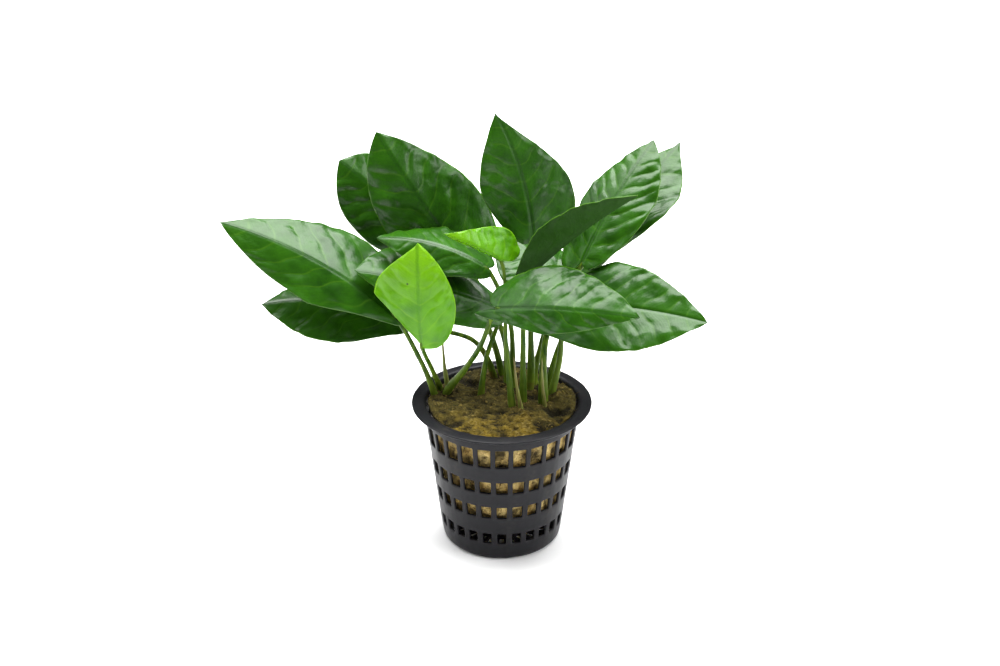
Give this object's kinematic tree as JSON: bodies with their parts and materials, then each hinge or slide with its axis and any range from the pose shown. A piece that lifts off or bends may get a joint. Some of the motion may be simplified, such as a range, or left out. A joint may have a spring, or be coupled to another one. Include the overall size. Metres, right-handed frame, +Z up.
{
  "type": "potted anubias",
  "caption": "Small leafy water plant with broad glossy leaves on stalks, rooted in a mineral-wool plug in a black slotted net pot.",
  "frame": {"origin": "centre of the pot's underside, on the surface the pot stands on", "axes": "+Z up; -Y towards the side that the plant shows best, with the large left leaf along -X"},
  "size_m": [0.1458, 0.0763, 0.1338],
  "materials": {
    "pot_plastic": "black satin, moulded",
    "wool": "damp matted fibres, olive brown to golden",
    "rhizome": "ringed, dull green brown",
    "root": "pale, slightly fuzzy",
    "leaf": "waxy, pleated, glossy deep green",
    "young_leaf": "waxy, thin, bright yellow green",
    "petiole": "smooth, satin green",
    "dry_sheath": "dry, brownish"
  },
  "bodies": {
    "root": {"net_pot": "pot_plastic", "rhizome": "rhizome", "root_1": "root", "root_2": "root", "root_3": "root", "root_4": "root", "root_5": "root", "root_6": "root", "blade_left_large": "leaf", "petiole_left_large": "petiole", "blade_left_low": "leaf", "petiole_left_low": "petiole", "blade_back_left": "leaf", "petiole_back_left": "petiole", "blade_upper_left": "leaf", "petiole_upper_left": "petiole", "blade_middle_left": "leaf", "petiole_middle_left": "petiole", "blade_young_front": "young_leaf", "petiole_young_front": "petiole", "blade_young_centre": "young_leaf", "petiole_young_centre": "petiole", "blade_top": "leaf", "petiole_top": "petiole", "blade_folded": "leaf", "petiole_folded": "petiole", "blade_upper_right": "leaf", "petiole_upper_right": "petiole", "blade_back_right": "leaf", "petiole_back_right": "petiole", "blade_front_right": "leaf", "petiole_front_right": "petiole", "blade_right_low": "leaf", "petiole_right_low": "petiole", "blade_centre_shaded": "leaf", "petiole_centre_shaded": "petiole", "blade_back_centre": "leaf", "petiole_back_centre": "petiole", "sheath_left": "dry_sheath", "sheath_front": "dry_sheath", "sheath_right": "dry_sheath", "mineral_wool": "wool"}
  },
  "joints": []
}
